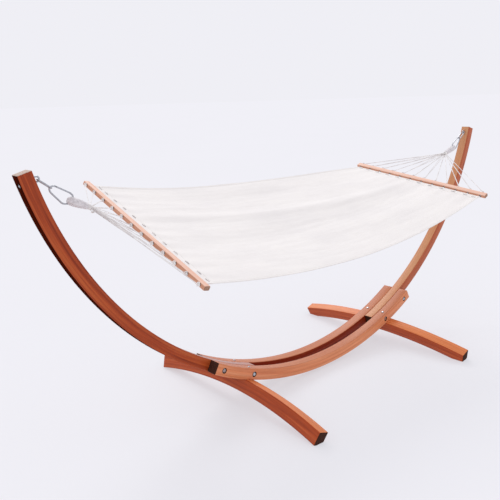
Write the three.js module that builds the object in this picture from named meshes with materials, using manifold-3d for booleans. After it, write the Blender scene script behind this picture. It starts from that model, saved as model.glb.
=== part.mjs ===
// Hammock on a curved wooden stand. Millimetres, +Z up, +X along the hammock.
// The origin is on the floor under the middle of the arc.

import * as THREE from 'three';
import { mergeVertices } from 'three/addons/utils/BufferGeometryUtils.js';
import Module from 'manifold-3d';

const wasm = await Module();
wasm.setup();

const { degToRad, lerp } = THREE.MathUtils;
const GAP = 0.3; // clearance between two pieces that touch
const CURVE_GAP = 0.7; // the same, on a face of the faceted arc
const OVERLAP = 1; // how far two joined shapes of one piece run into each other
const OUTSIDE = 20; // how far a cutter runs past the surface it opens

// ---- Driving dimensions ---------------------------------------------------------------

// The stand is one circular arc. Angles on it are measured from straight down.
const ARC = { centreZ: 1674, inner: 1596, outer: 1654 };
const ARC_MIDDLE = (ARC.inner + ARC.outer) / 2;
const ARM = { width: 54, lowerEnd: 17.8, top: 74.9 };
const RAIL = { width: 60, end: 28.9 };
const RAIL_Y = ARM.width / 2 + GAP + RAIL.width / 2;
const FOOT = {
  angle: 20.45,
  width: 58,
  depth: 68,
  bendRadius: 2400,
  halfTop: 597,
  halfBottom: 588,
  halfSeat: 95,
};

// Fasteners
const SIDE_BOLT = { angles: [27.1, 19.75], shank: 5, headFlats: 17, head: 6.4 };
const SIDE_RECESS = { radius: 14, depth: 9 };
const TOP_BOLT = { shank: 4, dome: 8, domeHeight: 3.4, nutFlats: 13, nut: 6.5 };
const UNDER_RECESS = { radius: 13, depth: 16 };
const EYE_BOLT = { angle: 73.4, shank: 4, ring: 10, wire: 3.5, standOff: 13, nutFlats: 13, nut: 6.5 };
const EYE_RECESS = { radius: 13, depth: 12 };
const WASHER = { side: 12, top: 9, eye: 11, thickness: 1.8 };
const HOLE_PLAY = 0.6; // radial play of a bolt in its hole
const THREAD_OUT = 2; // how far a bolt's end stands out of its nut

// Suspension, from the arm to the bar, on each side
const LINK = { wire: 3, halfWidth: 9.5, reach: 49.3, slope: 37, play: 0.8 };
const LINK_END_SQUARENESS = 5; // how suddenly the link's straight sides turn into its round ends
const HOOK = { wire: 3.5, reach: 103, slope: 38 };
const GATE_WIRE = 3.3;
const HINGE = { tongue: 2.6, slot: 3.2, clearRadius: 5.2, tail: 3, pin: 1.2, pinShort: 0.2, hole: 1.5 };
const SLEEVE = { mouth: 12.6, bore: 10.4, belly: 17, back: 17, boreDepth: 34, short: 6 };
const WIRE_GAP = 0.5; // between the hook's wire and the felt round it
const CORD = { radius: 2.5, count: 12, trunk: 10, trunkPast: 5, play: 2 };
const LEFT = { side: -1, sleeveSlope: 24, gatherReach: 76, barX: -1095, barZ: 962, roll: 20.2, pitch: 14 };
const RIGHT = { side: 1, sleeveSlope: 17, gatherReach: 96, barX: 974, barZ: 956, roll: 7.7, pitch: 25 };

// Spreader bars and cloth
const BAR = { length: 952, depth: 30, thickness: 21, edge: 3, holeMargin: 32, mouthGap: 5 };
const CLOTH = { width: 886, thickness: 4, fromBar: 6, sag: 77, crossSag: 12, lean: 0.15, twistFrom: 0.35 };
const CLOTH_GRID = { along: 24, across: 6 };

// Facets of round shapes
const SIDES = { arc: 12, bend: 10, shank: 10, recess: 16, washer: 16, wire: 8, pin: 8, cord: 6, sleeve: 16 };
const STEPS = { eye: 24, link: 24, hook: 36 }; // along bent wire
const MERGE_DISTANCE = 1e-4;

// ---- Materials ------------------------------------------------------------------------

function material(color, roughness, metalness = 0) {
  return new THREE.MeshStandardMaterial({ color, roughness, metalness });
}
const WOOD = material(0xb9663a, 0.45);
const BEECH = material(0xe6bb9b, 0.5);
const ZINC = material(0xc9ccd0, 0.3, 1);
const ROPE = material(0xf1efea, 0.95);
const FELT = material(0xc9c4c2, 1);
const CANVAS = material(0xf8f6f1, 0.95);

// ---- Solids ---------------------------------------------------------------------------

function solid(geometry, matrix) {
  const bare = geometry.clone();
  if (matrix) bare.applyMatrix4(matrix);
  bare.deleteAttribute('normal');
  bare.deleteAttribute('uv');
  const merged = mergeVertices(bare, MERGE_DISTANCE);
  const index = merged.index.array;
  const triangles = [];
  for (let i = 0; i < index.length; i += 3) {
    const [a, b, c] = [index[i], index[i + 1], index[i + 2]];
    if (a !== b && b !== c && c !== a) triangles.push(a, b, c);
  }
  return new wasm.Manifold(new wasm.Mesh({
    numProp: 3,
    vertProperties: new Float32Array(merged.attributes.position.array),
    triVerts: new Uint32Array(triangles),
  }));
}

function geometryOf(body) {
  const mesh = body.getMesh();
  const geometry = new THREE.BufferGeometry();
  geometry.setAttribute('position', new THREE.BufferAttribute(mesh.vertProperties, 3));
  geometry.setIndex(new THREE.BufferAttribute(mesh.triVerts, 1));
  geometry.computeVertexNormals();
  return geometry;
}

const cutAll = (body, cutters) => cutters.reduce((rest, cutter) => rest.subtract(cutter), body);
const joinAll = (bodies) => bodies.reduce((whole, body) => whole.add(body));

const model = new THREE.Group();

function addPart(name, geometry, look, matrix) {
  const mesh = new THREE.Mesh(geometry, look);
  mesh.name = name;
  if (matrix) mesh.applyMatrix4(matrix);
  model.add(mesh);
}

// ---- Frames ---------------------------------------------------------------------------

// Local Z points from the arc to its centre, local Y across the stand, local X along the arc.
function arcFrame(angle, radius, y = 0) {
  const turn = degToRad(angle);
  const place = new THREE.Vector3(radius * Math.sin(turn), y, ARC.centreZ - radius * Math.cos(turn));
  return new THREE.Matrix4().makeRotationY(-turn).setPosition(place);
}

// Local X points along the pull, down from the arm to the hammock; local Z points up.
function pullFrame(side, slope, origin) {
  const turn = degToRad(slope);
  const along = new THREE.Vector3(-side * Math.cos(turn), 0, -Math.sin(turn));
  const up = new THREE.Vector3(-side * Math.sin(turn), 0, Math.cos(turn));
  const across = new THREE.Vector3().crossVectors(up, along);
  return new THREE.Matrix4().makeBasis(along, across, up).setPosition(origin);
}

const pointIn = (frame, x, y = 0, z = 0) => new THREE.Vector3(x, y, z).applyMatrix4(frame);

// ---- Plain shapes ---------------------------------------------------------------------

const AXIS_TURN = { x: new THREE.Matrix4().makeRotationZ(-Math.PI / 2), y: new THREE.Matrix4() };
AXIS_TURN.z = new THREE.Matrix4().makeRotationX(Math.PI / 2);
const UNIT = {
  x: new THREE.Vector3(1, 0, 0),
  y: new THREE.Vector3(0, 1, 0),
  z: new THREE.Vector3(0, 0, 1),
};

// A round bar along one axis, between two places on it.
function bar(axis, radius, from, to, sides) {
  const geometry = new THREE.CylinderGeometry(radius, radius, to - from, sides);
  geometry.applyMatrix4(AXIS_TURN[axis]);
  const middle = UNIT[axis].clone().multiplyScalar((from + to) / 2);
  return geometry.translate(middle.x, middle.y, middle.z);
}

const HEX = 6;
const hexRadius = (flats) => flats / Math.sqrt(3);
const hexBar = (axis, flats, from, to) => bar(axis, hexRadius(flats), from, to, HEX);

function ringBar(axis, outer, inner, from, to, sides) {
  const body = solid(bar(axis, outer, from, to, sides));
  const hole = solid(bar(axis, inner, from - OUTSIDE, to + OUTSIDE, SIDES.shank));
  return geometryOf(body.subtract(hole));
}

function straightRod(from, to, radius, sides) {
  const along = new THREE.Vector3().subVectors(to, from);
  const geometry = new THREE.CylinderGeometry(radius, radius, along.length(), sides);
  const turn = new THREE.Quaternion().setFromUnitVectors(UNIT.y, along.clone().normalize());
  const middle = new THREE.Vector3().addVectors(from, to).multiplyScalar(0.5);
  return geometry.applyQuaternion(turn).translate(middle.x, middle.y, middle.z);
}

// A turned body. The profile lists [radius, place on the axis] and runs from the axis
// at its low end to the axis at its high end.
function turned(axis, profile, sides) {
  const points = profile.map(([radius, place]) => new THREE.Vector2(radius, place));
  return new THREE.LatheGeometry(points, sides).applyMatrix4(AXIS_TURN[axis]);
}

// ---- Wooden stand ---------------------------------------------------------------------

// A piece of the arc, cut from a flat plank of the given width across the stand.
function arcBeam(from, to, width, y) {
  const [start, end] = [degToRad(from - 90), degToRad(to - 90)];
  const outline = new THREE.Shape();
  outline.absarc(0, ARC.centreZ, ARC.outer, start, end, false);
  outline.absarc(0, ARC.centreZ, ARC.inner, end, start, true);
  const settings = { depth: width, bevelEnabled: false, curveSegments: SIDES.arc };
  const geometry = new THREE.ExtrudeGeometry(outline, settings);
  return geometry.rotateX(Math.PI / 2).translate(0, y + width / 2, 0);
}

function sideBoltHole(angle, halfLength) {
  const hole = bar('y', SIDE_BOLT.shank + HOLE_PLAY, -halfLength, halfLength, SIDES.shank);
  return solid(hole, arcFrame(angle, ARC_MIDDLE));
}

const RAIL_FACE = RAIL_Y + RAIL.width / 2;
const RAIL_SEAT = RAIL_FACE - SIDE_RECESS.depth;
const upward = (a, b) => a - b;

function makeArm(name, side) {
  const [from, to] = [ARM.lowerEnd, ARM.top].map((angle) => side * angle).sort(upward);
  const through = ARC.outer - ARC.inner + OUTSIDE;
  const eyeHole = bar('z', EYE_BOLT.shank + HOLE_PLAY, -OUTSIDE, through, SIDES.shank);
  const holes = SIDE_BOLT.angles.map((angle) => sideBoltHole(side * angle, ARM.width));
  const recess = bar('z', EYE_RECESS.radius, -OUTSIDE, EYE_RECESS.depth, SIDES.recess);
  const outerFace = arcFrame(side * EYE_BOLT.angle, ARC.outer);
  holes.push(solid(eyeHole, outerFace), solid(recess, outerFace));
  const beam = solid(arcBeam(from, to, ARM.width, 0));
  addPart(name, geometryOf(cutAll(beam, holes)), WOOD);
}

function makeRail(name, side) {
  const cuts = [];
  const [recessFrom, recessTo] = [side * RAIL_SEAT, side * (RAIL_FACE + OUTSIDE)].sort(upward);
  const recess = bar('y', SIDE_RECESS.radius, recessFrom, recessTo, SIDES.recess);
  for (const end of [-1, 1]) {
    for (const angle of SIDE_BOLT.angles) {
      cuts.push(sideBoltHole(end * angle, RAIL_FACE + OUTSIDE));
      cuts.push(solid(recess, arcFrame(end * angle, ARC_MIDDLE)));
    }
    const hole = bar('z', TOP_BOLT.shank + HOLE_PLAY, -OUTSIDE, ARC.outer, SIDES.shank);
    cuts.push(solid(hole, arcFrame(end * FOOT.angle, ARC.outer, side * RAIL_Y)));
  }
  const beam = solid(arcBeam(-RAIL.end, RAIL.end, RAIL.width, side * RAIL_Y));
  addPart(name, geometryOf(cutAll(beam, cuts)), WOOD);
}

// A foot bends down to the floor at both ends. Its outline is drawn across the stand, with
// the top of the bend at the origin, and a flat seat there for the two rails.
function footOutline() {
  const { bendRadius, depth, halfTop, halfBottom, halfSeat } = FOOT;
  const underRadius = bendRadius - depth;
  const centre = -Math.sqrt(bendRadius ** 2 - halfSeat ** 2);
  const topTurn = Math.asin(halfTop / bendRadius);
  const seatTurn = Math.asin(halfSeat / bendRadius);
  const underTurn = Math.asin(halfBottom / underRadius);
  const quarter = Math.PI / 2;
  const outline = new THREE.Shape();
  outline.absarc(0, centre, underRadius, quarter + underTurn, quarter - underTurn, true);
  outline.absarc(0, centre, bendRadius, quarter - topTurn, quarter - seatTurn, false);
  outline.absarc(0, centre, bendRadius, quarter + seatTurn, quarter + topTurn, false);
  return outline;
}

const FOOT_FRAME_RADIUS = ARC.outer + GAP;

function makeFoot(name, side) {
  const settings = { depth: FOOT.width, bevelEnabled: false, curveSegments: SIDES.bend };
  const geometry = new THREE.ExtrudeGeometry(footOutline(), settings);
  geometry.translate(0, 0, -FOOT.width / 2);
  geometry.applyMatrix4(new THREE.Matrix4().makeBasis(UNIT.y, UNIT.z, UNIT.x));
  const frame = arcFrame(side * FOOT.angle, FOOT_FRAME_RADIUS);
  const floor = new THREE.BoxGeometry(3 * ARC.outer, 3 * FOOT.halfTop, ARC.outer);
  const cuts = [solid(floor.translate(0, 0, -ARC.outer / 2))];
  const below = -FOOT.depth - OUTSIDE;
  const hole = bar('z', TOP_BOLT.shank + HOLE_PLAY, below, OUTSIDE, SIDES.shank);
  const recess = bar('z', UNDER_RECESS.radius, below, UNDER_RECESS.depth - FOOT.depth, SIDES.recess);
  for (const y of [-RAIL_Y, RAIL_Y]) {
    const place = frame.clone().multiply(new THREE.Matrix4().makeTranslation(0, y, 0));
    cuts.push(solid(hole, place), solid(recess, place));
  }
  addPart(name, geometryOf(cutAll(solid(geometry, frame), cuts)), WOOD);
}

// ---- Fasteners ------------------------------------------------------------------------

// A hexagon bolt goes in from the near rail, through the arm, to a nut in the far rail.
function makeSideBolt(label, angle) {
  const frame = arcFrame(angle, ARC_MIDDLE);
  const washerOuter = RAIL_SEAT + GAP + WASHER.thickness;
  const headSeat = washerOuter + GAP;
  const head = solid(hexBar('y', SIDE_BOLT.headFlats, -headSeat - SIDE_BOLT.head, -headSeat));
  const shank = solid(bar('y', SIDE_BOLT.shank, -headSeat - OVERLAP, RAIL_FACE, SIDES.shank));
  addPart(`${label}_bolt`, geometryOf(head.add(shank)), ZINC, frame);
  const inner = SIDE_BOLT.shank + GAP;
  for (const [name, from] of [['near', -washerOuter], ['far', RAIL_SEAT + GAP]]) {
    const washer = ringBar('y', WASHER.side, inner, from, from + WASHER.thickness, SIDES.washer);
    addPart(`${label}_${name}_washer`, washer, ZINC, frame);
  }
  const nutRadius = hexRadius(SIDE_BOLT.headFlats);
  const nut = ringBar('y', nutRadius, inner, headSeat, headSeat + SIDE_BOLT.head, HEX);
  addPart(`${label}_nut`, nut, ZINC, frame);
}

// A domed bolt goes down through the rail and the foot to a nut recessed in the foot.
function makeTopBolt(label, angle, y) {
  const frame = arcFrame(angle, ARC.inner, y);
  const { dome, domeHeight } = TOP_BOLT;
  const profile = [
    [0, 0], [dome, 0], [0.9 * dome, 0.6 * domeHeight], [0.5 * dome, 0.9 * domeHeight], [0, domeHeight],
  ];
  const head = turned('z', profile, SIDES.washer).translate(0, 0, CURVE_GAP);
  const recessFloor = ARC.inner - FOOT_FRAME_RADIUS - FOOT.depth + UNDER_RECESS.depth;
  const washerTop = recessFloor - GAP;
  const nutTop = washerTop - WASHER.thickness - GAP;
  const tip = nutTop - TOP_BOLT.nut - THREAD_OUT;
  const shank = solid(bar('z', TOP_BOLT.shank, tip, CURVE_GAP + OVERLAP, SIDES.shank));
  const inner = TOP_BOLT.shank + GAP;
  addPart(`${label}_bolt`, geometryOf(solid(head).add(shank)), ZINC, frame);
  const washer = ringBar('z', WASHER.top, inner, washerTop - WASHER.thickness, washerTop, SIDES.washer);
  addPart(`${label}_washer`, washer, ZINC, frame);
  const nutRadius = hexRadius(TOP_BOLT.nutFlats);
  const nut = ringBar('z', nutRadius, inner, nutTop - TOP_BOLT.nut, nutTop, HEX);
  addPart(`${label}_nut`, nut, ZINC, frame);
}

// An eye bolt goes out through the top of an arm to a washer and a nut sunk in the outer face.
function makeEyeBolt(label, side) {
  const frame = arcFrame(side * EYE_BOLT.angle, ARC.inner);
  const { shank, ring, wire, standOff, nutFlats, nut } = EYE_BOLT;
  const washerTop = ARC.inner - ARC.outer + EYE_RECESS.depth - CURVE_GAP;
  const nutTop = washerTop - WASHER.thickness - GAP;
  const eye = new THREE.TorusGeometry(ring, wire, SIDES.wire, STEPS.eye);
  eye.rotateX(Math.PI / 2).translate(0, 0, standOff);
  const shaft = bar('z', shank, nutTop - nut - THREAD_OUT, standOff - ring, SIDES.shank);
  const body = solid(eye).add(solid(shaft));
  addPart(`${label}_eye_bolt`, geometryOf(body), ZINC, frame);
  const inner = shank + GAP;
  const washer = ringBar('z', WASHER.eye, inner, washerTop - WASHER.thickness, washerTop, SIDES.washer);
  addPart(`${label}_eye_washer`, washer, ZINC, frame);
  const nutBody = ringBar('z', hexRadius(nutFlats), inner, nutTop - nut, nutTop, HEX);
  addPart(`${label}_eye_nut`, nutBody, ZINC, frame);
}

// ---- Suspension -----------------------------------------------------------------------

// The line on which the hammock swings runs through this point of both eye bolts.
function swingPoint(side) {
  const eyeCentre = pointIn(arcFrame(side * EYE_BOLT.angle, ARC.inner), 0, 0, EYE_BOLT.standOff);
  return pointIn(pullFrame(side, LINK.slope, eyeCentre), EYE_BOLT.ring);
}

// An oblong loop of wire in the local XY plane, round its middle.
class Oblong extends THREE.Curve {
  constructor(halfWidth, halfStraight) {
    super();
    this.halfWidth = halfWidth;
    this.halfStraight = halfStraight;
  }

  getPoint(t, target = new THREE.Vector3()) {
    const turn = 2 * Math.PI * t;
    const shift = this.halfStraight * Math.tanh(LINK_END_SQUARENESS * Math.cos(turn));
    return target.set(this.halfWidth * Math.cos(turn) + shift, this.halfWidth * Math.sin(turn), 0);
  }
}

// The link pulls on the eye bolt at one end and on the spring hook at the other. Its play
// on the eye keeps it clear of the ring's curve as it swings.
function makeLink(label, side) {
  const frame = pullFrame(side, LINK.slope, swingPoint(side));
  const nearCentre = -(EYE_BOLT.wire + LINK.wire + LINK.play) + LINK.halfWidth;
  const farCentre = LINK.reach + HOOK.wire + LINK.wire + GAP - LINK.halfWidth;
  const path = new Oblong(LINK.halfWidth, (farCentre - nearCentre) / 2);
  const loop = new THREE.TubeGeometry(path, STEPS.link, LINK.wire, SIDES.wire, true);
  loop.translate((farCentre + nearCentre) / 2, 0, 0);
  addPart(`${label}_link`, geometryOf(solid(loop)), ZINC, frame);
}

// The spring hook is a pear of round wire. Its gate closes the upper side, from a hinge near
// the narrow end to the nose. These are points of the wire's middle, [along, up].
const HOOK_HINGE = [20, 15];
const HOOK_NOSE = [80, 24];
const HOOK_WIRE_PATH = [
  HOOK_HINGE, [11.5, 13.3], [3, 8], [0, 0], [3.5, -8.5], [14, -14], [40, -20.5],
  [72, -26], [90, -23], [100, -13], [HOOK.reach, 0], [100.5, 13], [94.5, 21.5], [86, 24.9], HOOK_NOSE,
];

const raised = ([along, up]) => new THREE.Vector3(along, 0, up);

function sweptWire(points, radius, steps) {
  const section = new THREE.Shape().absarc(0, 0, radius, 0, 2 * Math.PI, false);
  const path = new THREE.CatmullRomCurve3(points);
  const settings = { steps, extrudePath: path, curveSegments: SIDES.wire / 2, bevelEnabled: false };
  return new THREE.ExtrudeGeometry(section, settings);
}

// A round bar across the wire, on the axis of the gate's hinge.
function hingeBar(radius, from, to, sides) {
  const [x, z] = HOOK_HINGE;
  return bar('y', radius, from, to, sides).translate(x, 0, z);
}

// Two of them leave a middle plate of the wire, which the gate's fork goes over.
function cheekCutters() {
  return [-1, 1].map((end) => {
    const [from, to] = [end * HINGE.tongue / 2, end * OUTSIDE].sort(upward);
    return solid(hingeBar(HINGE.clearRadius, from, to, SIDES.recess));
  });
}

function hookFrame(side) {
  const start = pointIn(pullFrame(side, LINK.slope, swingPoint(side)), LINK.reach);
  return pullFrame(side, HOOK.slope, start);
}

const gateDirection = new THREE.Vector3().subVectors(raised(HOOK_NOSE), raised(HOOK_HINGE)).normalize();
const alongGate = (point, distance) => raised(point).addScaledVector(gateDirection, distance);

function hookWire(radius, matrix) {
  const points = [alongGate(HOOK_HINGE, HINGE.tail), ...HOOK_WIRE_PATH.map(raised)];
  return solid(sweptWire(points, radius, STEPS.hook), matrix);
}

function makeSpringHook(label, side) {
  const frame = hookFrame(side);
  const body = hookWire(HOOK.wire);
  const hole = solid(hingeBar(HINGE.hole, -OUTSIDE, OUTSIDE, SIDES.pin));
  const hookBody = cutAll(body, [...cheekCutters(), hole]);
  addPart(`${label}_hook_body`, geometryOf(hookBody), ZINC, frame);

  const gateEnd = alongGate(HOOK_NOSE, -2 * GAP);
  const gate = solid(straightRod(alongGate(HOOK_HINGE, -HINGE.tail), gateEnd, GATE_WIRE, SIDES.wire));
  const slot = solid(hingeBar(HINGE.clearRadius, -HINGE.slot / 2, HINGE.slot / 2, SIDES.recess));
  addPart(`${label}_hook_gate`, geometryOf(cutAll(gate, [slot, hole])), ZINC, frame);
  const halfPin = GATE_WIRE - HINGE.pinShort;
  addPart(`${label}_hook_pin`, hingeBar(HINGE.pin, -halfPin, halfPin, SIDES.pin), ZINC, frame);
}

// A felt sleeve covers the rope's eye on the wide end of the hook and the start of the cords.
function sleeveFrame(data) {
  return pullFrame(data.side, data.sleeveSlope, pointIn(hookFrame(data.side), HOOK.reach));
}

// The sleeve's mouth is a little short of the point where the cords gather.
function makeSleeve(label, data) {
  const mouth = data.gatherReach - SLEEVE.short;
  const { back, belly, bore, boreDepth } = SLEEVE;
  const profile = [
    [0, -back], [0.6 * belly, -0.85 * back], [0.9 * belly, -0.4 * back], [belly, 0.3 * back],
    [0.95 * belly, 0.4 * mouth], [0.8 * belly, 0.8 * mouth], [SLEEVE.mouth, mouth], [0, mouth],
  ];
  const body = solid(turned('x', profile, SIDES.sleeve));
  const rope = solid(bar('x', bore, mouth - boreDepth, mouth + OUTSIDE, SIDES.sleeve));
  const inSleeve = sleeveFrame(data).invert().multiply(hookFrame(data.side));
  const cuts = [rope, hookWire(HOOK.wire + WIRE_GAP, inSleeve)];
  addPart(`${label}_rope_sleeve`, geometryOf(cutAll(body, cuts)), FELT, sleeveFrame(data));
}

// ---- Spreader bars and cords ----------------------------------------------------------

// Local X of a bar's frame points from the left arm to the right arm, local Y along the bar.
function barFrame(data) {
  const roll = new THREE.Matrix4().makeRotationX(degToRad(data.roll));
  const pitch = new THREE.Matrix4().makeRotationY(degToRad(-data.side * data.pitch));
  return roll.multiply(pitch).setPosition(data.barX, 0, data.barZ);
}

function holePlaces() {
  const half = BAR.length / 2 - BAR.holeMargin;
  return Array.from({ length: CORD.count }, (_, i) => lerp(-half, half, i / (CORD.count - 1)));
}

function makeSpreaderBar(label, data) {
  const [halfDepth, halfThick] = [BAR.depth / 2, BAR.thickness / 2];
  const { edge } = BAR;
  const outline = new THREE.Shape([
    [-halfDepth + edge, -halfThick], [halfDepth - edge, -halfThick], [halfDepth, -halfThick + edge],
    [halfDepth, halfThick - edge], [halfDepth - edge, halfThick], [-halfDepth + edge, halfThick],
    [-halfDepth, halfThick - edge], [-halfDepth, -halfThick + edge],
  ].map(([x, y]) => new THREE.Vector2(x, y)));
  const geometry = new THREE.ExtrudeGeometry(outline, { depth: BAR.length, bevelEnabled: false });
  geometry.translate(0, 0, -BAR.length / 2).rotateX(Math.PI / 2);
  const hole = bar('x', CORD.radius + CORD.play, -BAR.depth, BAR.depth, SIDES.shank);
  const holes = holePlaces().map((y) => solid(hole.clone().translate(0, y, 0)));
  addPart(`${label}_spreader_bar`, geometryOf(cutAll(solid(geometry), holes)), BEECH, barFrame(data));
}

// The cords fan out from the sleeve, bend into the holes of the bar and end at the hem.
function makeCordFan(label, data) {
  const sleeve = sleeveFrame(data);
  const gather = pointIn(sleeve, data.gatherReach);
  const frame = barFrame(data);
  const trunkStart = pointIn(sleeve, data.gatherReach - SLEEVE.short - SLEEVE.boreDepth + OVERLAP);
  const trunkEnd = pointIn(sleeve, data.gatherReach + CORD.trunkPast);
  const bodies = [solid(straightRod(trunkStart, trunkEnd, CORD.trunk, SIDES.sleeve))];
  const armSide = data.side * (BAR.depth / 2 + BAR.mouthGap);
  const hemSide = -data.side * (BAR.depth / 2 + CLOTH.fromBar - OVERLAP);
  for (const y of holePlaces()) {
    const mouth = pointIn(frame, armSide, y);
    const overlap = pointIn(frame, armSide + 2 * OVERLAP * data.side, y);
    bodies.push(solid(straightRod(gather, mouth, CORD.radius, SIDES.cord)));
    bodies.push(solid(straightRod(overlap, pointIn(frame, hemSide, y), CORD.radius, SIDES.cord)));
  }
  addPart(`${label}_cord_fan`, geometryOf(joinAll(bodies)), ROPE);
}

// ---- Cloth ----------------------------------------------------------------------------

// A point of the cloth's middle surface: u runs from the left hem to the right hem,
// w from -1 on the near edge to 1 on the far edge.
function clothPoint(u, w, lift) {
  const fromBar = BAR.depth / 2 + CLOTH.fromBar;
  const start = pointIn(barFrame(LEFT), fromBar);
  const end = pointIn(barFrame(RIGHT), -fromBar);
  const twist = Math.max(0, (u - CLOTH.twistFrom) / (1 - CLOTH.twistFrom)) ** 2;
  const roll = degToRad(lerp(LEFT.roll, RIGHT.roll, twist));
  const bow = 4 * u * (1 - u);
  const sag = CLOTH.sag * bow * (1 + CLOTH.lean * (1 - 2 * u));
  const reach = (w * CLOTH.width) / 2;
  const rise = lift - CLOTH.crossSag * bow * (1 - w * w);
  return new THREE.Vector3().lerpVectors(start, end, u).add(new THREE.Vector3(
    0,
    reach * Math.cos(roll) - rise * Math.sin(roll),
    reach * Math.sin(roll) + rise * Math.cos(roll) - sag,
  ));
}

// A box's grid, bent to the cloth: its six faces become the two sides and the edges.
function makeCloth() {
  const { along, across } = CLOTH_GRID;
  const geometry = new THREE.BoxGeometry(1, 2, CLOTH.thickness, along, across, 1);
  const position = geometry.attributes.position;
  for (let i = 0; i < position.count; i += 1) {
    const point = clothPoint(position.getX(i) + 0.5, position.getY(i), position.getZ(i));
    position.setXYZ(i, point.x, point.y, point.z);
  }
  addPart('hammock_cloth', geometryOf(solid(geometry)), CANVAS);
}

// ---- Assembly -------------------------------------------------------------------------

for (const [name, side] of [['left', -1], ['right', 1]]) {
  makeArm(`${name}_arm`, side);
  makeFoot(`${name}_foot`, side);
}
for (const [name, side] of [['near', -1], ['far', 1]]) makeRail(`${name}_rail`, side);

for (const [sideName, side] of [['left', -1], ['right', 1]]) {
  for (const [place, angle] of [['upper', SIDE_BOLT.angles[0]], ['lower', SIDE_BOLT.angles[1]]]) {
    makeSideBolt(`${sideName}_${place}`, side * angle);
  }
  for (const [place, y] of [['near', -RAIL_Y], ['far', RAIL_Y]]) {
    makeTopBolt(`${sideName}_foot_${place}`, side * FOOT.angle, y);
  }
}
for (const [name, data] of [['left', LEFT], ['right', RIGHT]]) {
  makeEyeBolt(name, data.side);
  makeLink(name, data.side);
  makeSpringHook(name, data.side);
  makeSleeve(name, data);
  makeCordFan(name, data);
  makeSpreaderBar(name, data);
}
makeCloth();

export default model;
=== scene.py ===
"""A hammock with spreader bars, hung on a curved laminated wooden stand.

Metres, +Z up, +X along the hammock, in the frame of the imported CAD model.
"""

import math

import bmesh
import bpy
import numpy as np
from mathutils import Matrix, Vector, noise


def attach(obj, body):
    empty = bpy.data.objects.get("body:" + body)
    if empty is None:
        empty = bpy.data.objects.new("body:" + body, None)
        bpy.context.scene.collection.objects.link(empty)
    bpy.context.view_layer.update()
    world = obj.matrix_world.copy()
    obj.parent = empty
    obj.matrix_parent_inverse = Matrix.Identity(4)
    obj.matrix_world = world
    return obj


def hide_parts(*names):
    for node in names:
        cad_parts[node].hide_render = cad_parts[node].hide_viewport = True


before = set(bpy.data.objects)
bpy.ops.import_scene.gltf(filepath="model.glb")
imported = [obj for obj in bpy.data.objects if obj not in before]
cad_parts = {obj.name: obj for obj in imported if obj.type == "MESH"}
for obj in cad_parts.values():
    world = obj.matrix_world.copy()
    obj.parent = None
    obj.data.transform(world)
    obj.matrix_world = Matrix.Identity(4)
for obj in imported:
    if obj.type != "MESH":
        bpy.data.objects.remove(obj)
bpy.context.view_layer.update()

# ---- Driving dimensions ----

GAP = 0.0003  # between pieces that touch
ARC_CENTRE_Z, ARC_INNER, ARC_OUTER = 1.674, 1.596, 1.654
ARC_MIDDLE = (ARC_INNER + ARC_OUTER) / 2
ARM_WIDTH, ARM_LOWER, ARM_TOP = 0.054, 17.8, 74.9
RAIL_WIDTH, RAIL_END = 0.060, 28.9
RAIL_Y = ARM_WIDTH / 2 + GAP + RAIL_WIDTH / 2
RAIL_FACE = RAIL_Y + RAIL_WIDTH / 2
FOOT_ANGLE, FOOT_WIDTH, FOOT_DEPTH = 20.45, 0.058, 0.068
FOOT_BEND, FOOT_HALF, FOOT_SEAT = 2.400, 0.597, 0.095
EDGE = 0.0035  # rounding of the wood's edges
LAYER = 0.0193  # thickness of one lamination

# Fasteners. Angles are on the arc, in degrees from its lowest point.
SIDE_BOLT_ANGLES = (27.1, 19.75)
RECESS_RADIUS, RECESS_DEPTH = 0.014, 0.009
UNDER_RADIUS, UNDER_DEPTH = 0.013, 0.016
EYE_ANGLE, EYE_RING, EYE_WIRE, EYE_STAND_OFF = 73.4, 0.010, 0.0035, 0.013
EYE_RECESS_RADIUS, EYE_RECESS_DEPTH = 0.013, 0.012
SIDE_BOLT, SIDE_HOLE, SIDE_NUT, SIDE_NUT_HEIGHT = 0.005, 0.0056, 0.0098, 0.0064
SMALL_BOLT, SMALL_HOLE, SMALL_NUT, SMALL_NUT_HEIGHT = 0.004, 0.0046, 0.0075, 0.0065
SIDE_WASHER, FOOT_WASHER, EYE_WASHER, WASHER_THICKNESS = 0.012, 0.009, 0.011, 0.0018
NUT_PLAY, WASHER_EDGE, BOLT_TIP = 0.0003, 0.0003, 0.002
DOME_RADIUS, DOME_HEIGHT, DOME_LIFT = 0.008, 0.0028, 0.0005

# Link and spring hook. Wires are radii, slopes are degrees below level.
LINK_WIRE, LINK_HALF_WIDTH, LINK_REACH, LINK_SLOPE = 0.003, 0.0095, 0.0493, 37
LINK_PLAY = 0.0008
HOOK_WIRE, HOOK_REACH, HOOK_SLOPE = 0.0035, 0.103, 38
HOOK_HINGE, HOOK_NOSE = (0.020, 0.015), (0.080, 0.024)
HINGE_TONGUE, HINGE_SLOT, HINGE_CLEAR, HINGE_HOLE = 0.0026, 0.0032, 0.0052, 0.0015
GATE_WIRE, GATE_TAIL, GATE_GAP = 0.0033, 0.003, 0.0006

CORDS = 12
STRAND = 0.0016  # radius of a cord; two of them lie side by side in each hole
SLEEVE_SHORT = 0.006  # how far the sleeve ends short of its reach
CORD_INSIDE = 0.024  # how far the cords reach into the sleeve
BUNDLE_RADIUS = 0.0082
WHIPPING, WHIPPING_RADIUS, WHIPPING_WIRE, WHIPPING_TURNS = 0.014, 0.0101, 0.0011, 7.75
STOPPER_SIZE, STOPPER_STRAND = 0.0028, 0.0021  # the knot at each hole
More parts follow.
